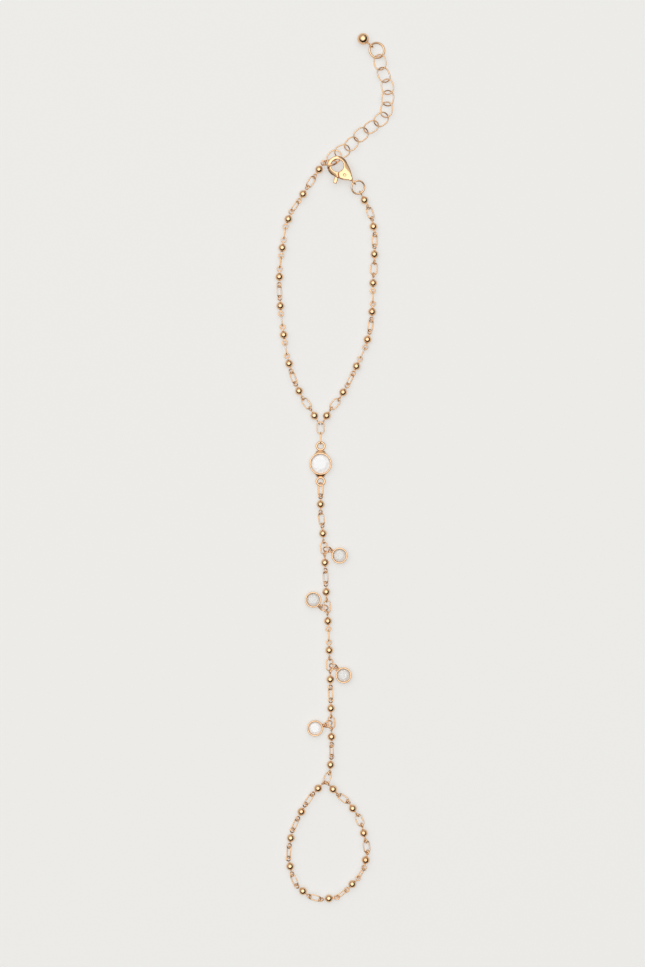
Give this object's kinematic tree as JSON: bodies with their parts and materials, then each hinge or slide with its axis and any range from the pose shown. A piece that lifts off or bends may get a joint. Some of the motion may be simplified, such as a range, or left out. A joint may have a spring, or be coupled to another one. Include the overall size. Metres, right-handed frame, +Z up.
{
  "type": "hand chain bracelet",
  "caption": "Hand chain bracelet: beaded wrist loop with clasp and extender, round stone connector, beaded hand chain with stone drops, closed beaded finger loop.",
  "frame": {"origin": "middle of the laid-out bracelet's outline, on the surface that it lies on", "axes": "+X across the bracelet, +Y from the finger loop to the extender, +Z up from the surface"},
  "size_m": [0.0357, 0.2608, 0.0041],
  "materials": {
    "gold_plate": "polished yellow to rose gold plate",
    "crystal": "clear, cut and polished"
  },
  "bodies": {
    "bracelet": {"wrist_chain_left": "gold_plate", "wrist_chain_right": "gold_plate", "junction_link": "gold_plate", "upper_link": "gold_plate", "connector_setting": "gold_plate", "connector_stone": "crystal", "narrow_ring": "gold_plate", "hand_chain": "gold_plate", "finger_link": "gold_plate", "finger_chain": "gold_plate", "drop_ring_1": "gold_plate", "drop_ring_2": "gold_plate", "drop_ring_3": "gold_plate", "drop_ring_4": "gold_plate", "drop_setting_1": "gold_plate", "drop_setting_2": "gold_plate", "drop_setting_3": "gold_plate", "drop_setting_4": "gold_plate", "drop_stone_1": "crystal", "drop_stone_2": "crystal", "drop_stone_3": "crystal", "drop_stone_4": "crystal", "clasp_ring": "gold_plate", "clasp_body": "gold_plate", "clasp_rivet": "gold_plate", "end_ring": "gold_plate", "extender_chain": "gold_plate", "tail_ring": "gold_plate", "tail_ball": "gold_plate"},
    "lever": {"clasp_lever": "gold_plate"}
  },
  "joints": [
    {"name": "lever_hinge", "type": "hinge", "parent": "bracelet", "child": "lever", "pos_m": [0.00294, 0.08762, 0.0024], "axis": [0, 0, 1], "range_deg": [-10, 0], "stiffness_Nm_per_rad": 0.002, "springref_deg": 11.46}
  ]
}
